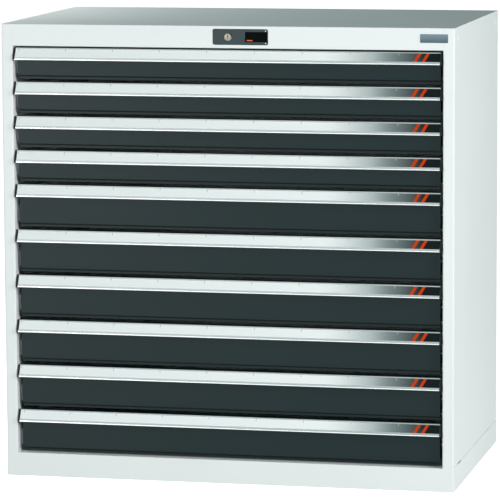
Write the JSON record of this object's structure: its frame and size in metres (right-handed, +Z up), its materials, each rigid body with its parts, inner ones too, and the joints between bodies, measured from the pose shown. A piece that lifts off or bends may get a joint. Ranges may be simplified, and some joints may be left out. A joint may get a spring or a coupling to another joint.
{
  "type": "drawer cabinet",
  "caption": "Workshop drawer cabinet: steel housing on a plinth, drawers on roller slides with label handles, and a central key lock.",
  "frame": {"origin": "middle of the ground under the cabinet, handles included, at the plinth's underside", "axes": "+Z up, -Y out of the drawer fronts, +X to the right as seen from the front"},
  "size_m": [1.002, 0.6074, 1],
  "materials": {
    "housing_paint": "light grey powder coat, fine texture",
    "front_paint": "anthracite powder coat, fine texture",
    "box_paint": "light grey powder coat",
    "handle_aluminium": "natural anodised extrusion",
    "cap_plastic": "black moulded plastic",
    "bezel_plastic": "dark grey moulded plastic",
    "lock_brass": "nickel-plated brass",
    "zinc_steel": "zinc-plated steel"
  },
  "bodies": {
    "housing": {"side_panel_left": "housing_paint", "side_panel_right": "housing_paint", "back_panel": "housing_paint", "top_panel": "housing_paint", "base_tray": "housing_paint", "cabinet_rails": "zinc_steel", "lock_bezel": "bezel_plastic"},
    "lock_cylinder": {"lock_cylinder": "lock_brass"},
    "lock_slider": {"lock_slider": "zinc_steel"},
    "lock_bar": {"lock_bar": "zinc_steel"},
    "drawer_01": {"drawer_01_box": "box_paint", "drawer_01_front": "front_paint", "drawer_01_handle": "handle_aluminium", "drawer_01_end_caps": "cap_plastic"},
    "carriages_01": {"drawer_01_carriages": "zinc_steel"},
    "drawer_02": {"drawer_02_box": "box_paint", "drawer_02_front": "front_paint", "drawer_02_handle": "handle_aluminium", "drawer_02_end_caps": "cap_plastic"},
    "carriages_02": {"drawer_02_carriages": "zinc_steel"},
    "drawer_03": {"drawer_03_box": "box_paint", "drawer_03_front": "front_paint", "drawer_03_handle": "handle_aluminium", "drawer_03_end_caps": "cap_plastic"},
    "carriages_03": {"drawer_03_carriages": "zinc_steel"},
    "drawer_04": {"drawer_04_box": "box_paint", "drawer_04_front": "front_paint", "drawer_04_handle": "handle_aluminium", "drawer_04_end_caps": "cap_plastic"},
    "carriages_04": {"drawer_04_carriages": "zinc_steel"},
    "drawer_05": {"drawer_05_box": "box_paint", "drawer_05_front": "front_paint", "drawer_05_handle": "handle_aluminium", "drawer_05_end_caps": "cap_plastic"},
    "carriages_05": {"drawer_05_carriages": "zinc_steel"},
    "drawer_06": {"drawer_06_box": "box_paint", "drawer_06_front": "front_paint", "drawer_06_handle": "handle_aluminium", "drawer_06_end_caps": "cap_plastic"},
    "carriages_06": {"drawer_06_carriages": "zinc_steel"},
    "drawer_07": {"drawer_07_box": "box_paint", "drawer_07_front": "front_paint", "drawer_07_handle": "handle_aluminium", "drawer_07_end_caps": "cap_plastic"},
    "carriages_07": {"drawer_07_carriages": "zinc_steel"},
    "drawer_08": {"drawer_08_box": "box_paint", "drawer_08_front": "front_paint", "drawer_08_handle": "handle_aluminium", "drawer_08_end_caps": "cap_plastic"},
    "carriages_08": {"drawer_08_carriages": "zinc_steel"},
    "drawer_09": {"drawer_09_box": "box_paint", "drawer_09_front": "front_paint", "drawer_09_handle": "handle_aluminium", "drawer_09_end_caps": "cap_plastic"},
    "carriages_09": {"drawer_09_carriages": "zinc_steel"},
    "drawer_10": {"drawer_10_box": "box_paint", "drawer_10_front": "front_paint", "drawer_10_handle": "handle_aluminium", "drawer_10_end_caps": "cap_plastic"},
    "carriages_10": {"drawer_10_carriages": "zinc_steel"}
  },
  "joints": [
    {"name": "key_turn", "type": "hinge", "parent": "housing", "child": "lock_cylinder", "pos_m": [0.007, -0.29632, 0.9767], "axis": [0, 1, 0], "range_deg": [0, 90]},
    {"name": "lock_slider_slide", "type": "slide", "parent": "housing", "child": "lock_slider", "axis": [-1, 0, 0], "range_m": [0, 0.0198]},
    {"name": "lock_bar_slide", "type": "slide", "parent": "housing", "child": "lock_bar", "axis": [0, 0, -1], "range_m": [0, 0.012]},
    {"name": "drawer_01_slide", "type": "slide", "parent": "housing", "child": "drawer_01", "axis": [0, -1, 0], "range_m": [0, 0.5]},
    {"name": "carriages_01_slide", "type": "slide", "parent": "housing", "child": "carriages_01", "axis": [0, -1, 0], "range_m": [0, 0.25]},
    {"name": "drawer_02_slide", "type": "slide", "parent": "housing", "child": "drawer_02", "axis": [0, -1, 0], "range_m": [0, 0.5]},
    {"name": "carriages_02_slide", "type": "slide", "parent": "housing", "child": "carriages_02", "axis": [0, -1, 0], "range_m": [0, 0.25]},
    {"name": "drawer_03_slide", "type": "slide", "parent": "housing", "child": "drawer_03", "axis": [0, -1, 0], "range_m": [0, 0.5]},
    {"name": "carriages_03_slide", "type": "slide", "parent": "housing", "child": "carriages_03", "axis": [0, -1, 0], "range_m": [0, 0.25]},
    {"name": "drawer_04_slide", "type": "slide", "parent": "housing", "child": "drawer_04", "axis": [0, -1, 0], "range_m": [0, 0.5]},
    {"name": "carriages_04_slide", "type": "slide", "parent": "housing", "child": "carriages_04", "axis": [0, -1, 0], "range_m": [0, 0.25]},
    {"name": "drawer_05_slide", "type": "slide", "parent": "housing", "child": "drawer_05", "axis": [0, -1, 0], "range_m": [0, 0.5]},
    {"name": "carriages_05_slide", "type": "slide", "parent": "housing", "child": "carriages_05", "axis": [0, -1, 0], "range_m": [0, 0.25]},
    {"name": "drawer_06_slide", "type": "slide", "parent": "housing", "child": "drawer_06", "axis": [0, -1, 0], "range_m": [0, 0.5]},
    {"name": "carriages_06_slide", "type": "slide", "parent": "housing", "child": "carriages_06", "axis": [0, -1, 0], "range_m": [0, 0.25]},
    {"name": "drawer_07_slide", "type": "slide", "parent": "housing", "child": "drawer_07", "axis": [0, -1, 0], "range_m": [0, 0.5]},
    {"name": "carriages_07_slide", "type": "slide", "parent": "housing", "child": "carriages_07", "axis": [0, -1, 0], "range_m": [0, 0.25]},
    {"name": "drawer_08_slide", "type": "slide", "parent": "housing", "child": "drawer_08", "axis": [0, -1, 0], "range_m": [0, 0.5]},
    {"name": "carriages_08_slide", "type": "slide", "parent": "housing", "child": "carriages_08", "axis": [0, -1, 0], "range_m": [0, 0.25]},
    {"name": "drawer_09_slide", "type": "slide", "parent": "housing", "child": "drawer_09", "axis": [0, -1, 0], "range_m": [0, 0.5]},
    {"name": "carriages_09_slide", "type": "slide", "parent": "housing", "child": "carriages_09", "axis": [0, -1, 0], "range_m": [0, 0.25]},
    {"name": "drawer_10_slide", "type": "slide", "parent": "housing", "child": "drawer_10", "axis": [0, -1, 0], "range_m": [0, 0.5]},
    {"name": "carriages_10_slide", "type": "slide", "parent": "housing", "child": "carriages_10", "axis": [0, -1, 0], "range_m": [0, 0.25]}
  ],
  "couplings": [
    {"joint": "key_turn", "follows": "lock_slider_slide", "rad_per_m": 79.333},
    {"joint": "lock_bar_slide", "follows": "lock_slider_slide", "ratio": 0.60606},
    {"joint": "carriages_01_slide", "follows": "drawer_01_slide", "ratio": 0.5},
    {"joint": "carriages_02_slide", "follows": "drawer_02_slide", "ratio": 0.5},
    {"joint": "carriages_03_slide", "follows": "drawer_03_slide", "ratio": 0.5},
    {"joint": "carriages_04_slide", "follows": "drawer_04_slide", "ratio": 0.5},
    {"joint": "carriages_05_slide", "follows": "drawer_05_slide", "ratio": 0.5},
    {"joint": "carriages_06_slide", "follows": "drawer_06_slide", "ratio": 0.5},
    {"joint": "carriages_07_slide", "follows": "drawer_07_slide", "ratio": 0.5},
    {"joint": "carriages_08_slide", "follows": "drawer_08_slide", "ratio": 0.5},
    {"joint": "carriages_09_slide", "follows": "drawer_09_slide", "ratio": 0.5},
    {"joint": "carriages_10_slide", "follows": "drawer_10_slide", "ratio": 0.5}
  ]
}
